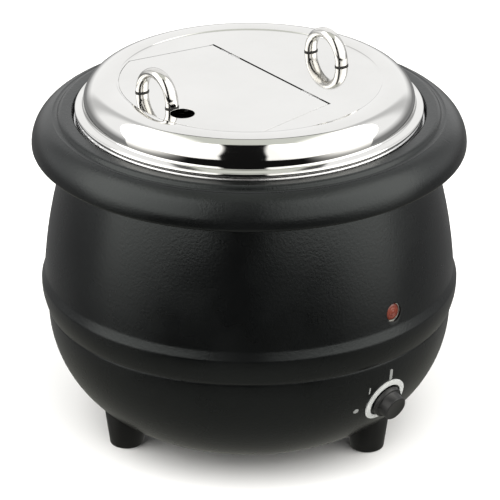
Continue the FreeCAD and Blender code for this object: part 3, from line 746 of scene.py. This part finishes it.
def makeHandle(node, name, body, settings):
    low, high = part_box(node)
    middle = (low + high) / 2
    bow, leg = settings["bow"] * mm, settings["leg"] * mm
    clearSelection()
    bpy.ops.mesh.primitive_circle_add(vertices=settings["ring"], radius=1, fill_type="NGON",
                                      location=(0, -bow, 0))
    ring = bpy.context.object
    ring.scale = (settings["wide"] / 2 * mm, settings["thick"] / 2 * mm, 1)
    piece = called(name)
    editStart(piece)
    bpy.ops.mesh.select_all(action="SELECT")
    bpy.ops.mesh.extrude_region_move(TRANSFORM_OT_translate={"value": (0, 0, leg)})
    bpy.ops.mesh.spin(steps=settings["over"], angle=math.pi, center=(0, 0, leg), axis=(1, 0, 0))
    bpy.ops.mesh.extrude_region_move(TRANSFORM_OT_translate={"value": (0, 0, -leg)})
    bpy.ops.mesh.select_all(action="SELECT")
    bpy.ops.mesh.remove_doubles(threshold=1e-6)
    bpy.ops.mesh.select_all(action="SELECT")
    bpy.ops.mesh.normals_make_consistent(inside=False)
    editEnd()
    turnInPlace(piece, lidTurn)
    piece.data.transform(Matrix.Translation((middle.x, middle.y, low.z)))
    softenEdges(piece, settings["edge"], segments=3, angle=60)
    finished(piece, body, [node], "mirror_steel", barFinish, angle=45)


makeHandle("lid_handle", "lidHandle", "lid", handle)
makeHandle("flap_handle", "flapHandle", "flap", handle)
print("handles done")


# Dial knob: skirt with a raised ring, slim cap with a rounded edge, pointer groove in the skirt.
knob = {"line": ((0.0, 9.5), (3.05, 9.5), (3.05, 3.5), (12.3, 3.5), (12.3, 1.0), (14.1, 1.0), (14.5, 1.5),
                 (14.0, 4.2), (13.5, 4.85), (13.0, 5.0), (12.7, 4.75), (12.2, 4.7), (11.7, 4.9),
                 (11.3, 5.5), (10.95, 12.6), (10.75, 13.25), (10.1, 13.5), (9.2, 13.5), (8.9, 13.42),
                 (0.0, 13.42)),
        "groove": (4.2, 0.9, 1.4), "grooveStart": 14.8, "grooveHeight": 5.0, "edge": 0.12}


def makeKnob(settings):
    piece = spinPiece("dialKnob", [(r * mm, z * mm) for r, z in settings["line"]], steps=144)
    length, width, depth = settings["groove"]
    grooveCentre = ((length / 2 - settings["grooveStart"]) * mm, 0, settings["grooveHeight"] * mm)
    cutAway(piece, boxCutter("grooveCutter", grooveCentre, (length * mm, width * mm, depth * mm)))
    softenEdges(piece, settings["edge"], angle=40)
    centre, outward = dialPlace()
    turnInPlace(piece, math.acos(outward.z), axis="X")
    piece.data.transform(Matrix.Translation(centre))
    finished(piece, "knob", ["knob"], "knob_black", angle=40)


makeKnob(knob)
print("knob done")


# Pilot lamp lens: low dome with moulded rings.
lens = {"line": ((0.0, 2.9), (1.6, 2.85), (1.9, 2.55), (2.2, 2.8), (3.7, 2.65), (4.0, 2.35),
                 (4.3, 2.55), (5.6, 2.3), (6.6, 1.95), (7.4, 1.2), (7.7, 0.4), (7.7, 0.0), (0.0, 0.0))}


def makeLamp(settings):
    low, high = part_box("lamp_lens")
    piece = spinPiece("lampLens", [(r * mm, z * mm) for r, z in settings["line"]], steps=96)
    turnInPlace(piece, math.radians(90), axis="X")
    middle = (low + high) / 2
    piece.data.transform(Matrix.Translation((middle.x, high.y, middle.z)))
    finished(piece, "kettle", ["lamp_lens"], "red_lens", angle=50)


makeLamp(lens)
print("lamp done")


# Floor. The studio's directions already hold its reflection.
floorSettings = {"radius": 14.0, "color": (0.86, 0.86, 0.86), "worn": (0.87, 0.87, 0.865), "roughness": 0.9,
                 "specular": 0.1, "grainScale": 3}


def makeFloor(settings):
    finish, shader = startFinish("floor", settings["color"], settings["roughness"])
    shader.inputs["Specular IOR Level"].default_value = settings["specular"]
    grain = noise(finish, coordinates(finish), settings["grainScale"], 2.0)
    link(finish, mottled(finish, grain, settings["color"], settings["worn"]), shader.inputs["Base Color"])
    clearSelection()
    bpy.ops.mesh.primitive_circle_add(vertices=128, radius=settings["radius"], fill_type="NGON",
                                      location=(0, 0, 0))
    floor = called("floor")
    floor.visible_glossy = False
    floor.data.materials.append(finish)


makeFloor(floorSettings)
print("floor done")


# Big soft lamp over the front that only brightens the floor and the matt surfaces.
fillLight = {"size": 2.6, "power": 68.0, "away": 1.5, "height": 2.5, "front": cameraSettings["azimuth"]}


def makeFill(settings):
    front = math.radians(settings["front"])
    away = settings["away"]
    spot = Vector((math.sin(front) * away, -math.cos(front) * away, settings["height"]))
    bpy.ops.object.light_add(type="AREA", location=spot)
    lamp = bpy.context.object
    lamp.name = "fillLight"
    lamp.rotation_mode = "QUATERNION"
    lamp.rotation_quaternion = (-spot).to_track_quat("-Z", "Y")
    lamp.data.size = settings["size"]
    lamp.data.energy = settings["power"]
    lamp.visible_glossy = False
    lamp.visible_camera = False


makeFill(fillLight)


# Studio painted on the world by direction. Degrees run from the front horizon over the top to the back,
# or round the horizon from the front. Heights and sideways places are parts of a unit direction.
studio = {"front": cameraSettings["azimuth"],
          "room": 1.17, "roomTint": (1.0, 1.0, 1.0), "backStart": 118.5, "behind": -90,
          "strip": 0.72, "stripStart": 128, "stripEnd": 146, "stripSoft": (0.3, 0.2),
          "dim": 0.26, "dimHeights": (-0.15, 0.15),
          "bankLow": 0.35, "bankNear": 1.45, "bankFar": 3.2, "bankTint": (1.0, 0.985, 0.95),
          "bankSwing": (0.35, 1.3), "bankHeights": (-0.35, 0.25),
          "gapLevel": 0.008, "gapLow": (-0.84, 0.78), "gapMiddle": (-0.33, 0.20), "gapHigh": (-0.20, 0.13),
          "gapSoft": (0.20, 0.025), "gapLowHeights": (0.02, 0.12), "gapHighHeights": (0.42, 0.95),
          "ceiling": 0.80, "ceilingTint": (0.98, 1.0, 0.92), "ceilingStart": 83, "ceilingEnds": (0.55, 0.25),
          "crack": 0.10, "crackStart": 115.5, "crackSoft": 0.02,
          "under": 0.30, "underTint": (1.0, 1.0, 0.90), "underHeights": (-0.35, -0.60), "soft": 0.05}


def worldMath(tree, operation, *values):
    node = tree.nodes.new("ShaderNodeMath")
    node.operation = operation
    for socket, value in zip(node.inputs, values):
        if isinstance(value, (int, float)):
            socket.default_value = value
        else:
            tree.links.new(value, socket)
    return node.outputs[0]


def worldStep(tree, value, start, end):
    # eases from 0 at start to 1 at end
    node = tree.nodes.new("ShaderNodeMapRange")
    node.interpolation_type = "SMOOTHSTEP"
    tree.links.new(value, node.inputs["Value"])
    node.inputs["From Min"].default_value = min(start, end)
    node.inputs["From Max"].default_value = max(start, end)
    node.inputs["To Min"].default_value = 0 if start < end else 1
    node.inputs["To Max"].default_value = 1 if start < end else 0
    return node.outputs["Result"]


def worldMix(tree, factor, first, second):
    node = tree.nodes.new("ShaderNodeMix")
    node.data_type = "RGBA"
    tree.links.new(factor, node.inputs[0])
    for socket, value in ((node.inputs[6], first), (node.inputs[7], second)):
        if isinstance(value, tuple):
            socket.default_value = (*value, 1)
        else:
            tree.links.new(value, socket)
    return node.outputs[2]


def worldSlide(tree, value, start, end, first, last):
    # runs straight from first at start to last at end
    node = tree.nodes.new("ShaderNodeMapRange")
    tree.links.new(value, node.inputs["Value"])
    for name, number in (("From Min", start), ("From Max", end), ("To Min", first), ("To Max", last)):
        node.inputs[name].default_value = number
    return node.outputs["Result"]


def makeStudio(settings):
    world = bpy.data.worlds.new("studio")
    bpy.context.scene.world = world
    world.use_nodes = True
    tree = world.node_tree
    tree.nodes.clear()
    source = tree.nodes.new("ShaderNodeTexCoord")
    turn = tree.nodes.new("ShaderNodeMapping")
    turn.inputs["Rotation"].default_value = (0, 0, -math.radians(settings["front"]))
    tree.links.new(source.outputs["Generated"], turn.inputs["Vector"])
    split = tree.nodes.new("ShaderNodeSeparateXYZ")
    tree.links.new(turn.outputs["Vector"], split.inputs[0])
    right, back, up = split.outputs["X"], split.outputs["Y"], split.outputs["Z"]
    front = worldMath(tree, "MULTIPLY", back, -1.0)
    over = worldMath(tree, "ARCTAN2", up, front)
    swing = worldMath(tree, "ABSOLUTE", worldMath(tree, "ARCTAN2", right, front))

    def zone(value, edge, width=settings["soft"]):
        # eases from 0 to 1 across an edge given in degrees
        middle = math.radians(edge)
        return worldStep(tree, value, middle - width / 2, middle + width / 2)

    def shade(name, tint):
        return tuple(settings[name] * part for part in settings[tint])

    # back sweep with a greyer strip down each far side, dimmer under the horizon
    startSoft, endSoft = settings["stripSoft"]
    strips = worldMath(tree, "SUBTRACT", zone(swing, settings["stripStart"], startSoft),
                       zone(swing, settings["stripEnd"], endSoft))
    sweep = worldMix(tree, strips, shade("room", "roomTint"), shade("strip", "roomTint"))
    raised = worldSlide(tree, up, *settings["dimHeights"], 0, 1)
    sweep = worldMix(tree, raised, shade("dim", "roomTint"), sweep)
    # two banks, brighter to the sides and dimmer towards the floor
    outward = worldSlide(tree, swing, *settings["bankSwing"], 0, 1)
    banks = worldMix(tree, outward, shade("bankNear", "bankTint"), shade("bankFar", "bankTint"))
    raised = worldSlide(tree, up, *settings["bankHeights"], 0, 1)
    banks = worldMix(tree, raised, shade("bankLow", "bankTint"), banks)
    # the dark gap between them, wider and softer towards the floor
    width = worldSlide(tree, up, *settings["gapLowHeights"], *settings["gapSoft"])
    inside = []
    for side, hand in ((0, -1), (1, 1)):
        lowEdge, middleEdge, highEdge = (settings[name][side] for name in ("gapLow", "gapMiddle", "gapHigh"))
        edge = worldMath(tree, "ADD", worldSlide(tree, up, *settings["gapLowHeights"], lowEdge, middleEdge),
                         worldSlide(tree, up, *settings["gapHighHeights"], 0, highEdge - middleEdge))
        depth = worldMath(tree, "MULTIPLY", worldMath(tree, "SUBTRACT", edge, right), hand)
        inside.append(worldStep(tree, worldMath(tree, "DIVIDE", depth, width), -1.0, 1.0))
    gap = worldMath(tree, "MULTIPLY", *inside)
    ahead = worldMix(tree, gap, banks, shade("gapLevel", "roomTint"))
    # a greyer ceiling over the middle, ending at a thin dark crack
    middle = worldStep(tree, worldMath(tree, "ABSOLUTE", right), *settings["ceilingEnds"])
    ceiling = worldMath(tree, "MULTIPLY", zone(over, settings["ceilingStart"]), middle)
    crack = worldMath(tree, "MULTIPLY", zone(over, settings["crackStart"], settings["crackSoft"]), middle)
    color = worldMix(tree, ceiling, ahead, shade("ceiling", "ceilingTint"))
    color = worldMix(tree, crack, color, shade("crack", "roomTint"))
    color = worldMix(tree, zone(over, settings["backStart"], settings["crackSoft"]), color, sweep)
    color = worldMix(tree, zone(over, settings["behind"]), sweep, color)
    # the floor as the casing mirrors it
    lowered = worldStep(tree, up, *settings["underHeights"])
    color = worldMix(tree, lowered, color, shade("under", "underTint"))
    background = tree.nodes.new("ShaderNodeBackground")
    tree.links.new(color, background.inputs["Color"])
    output = tree.nodes.new("ShaderNodeOutputWorld")
    tree.links.new(background.outputs[0], output.inputs["Surface"])
    bpy.context.scene.view_settings.view_transform = "Standard"


makeStudio(studio)
print("studio done")

clearSelection()
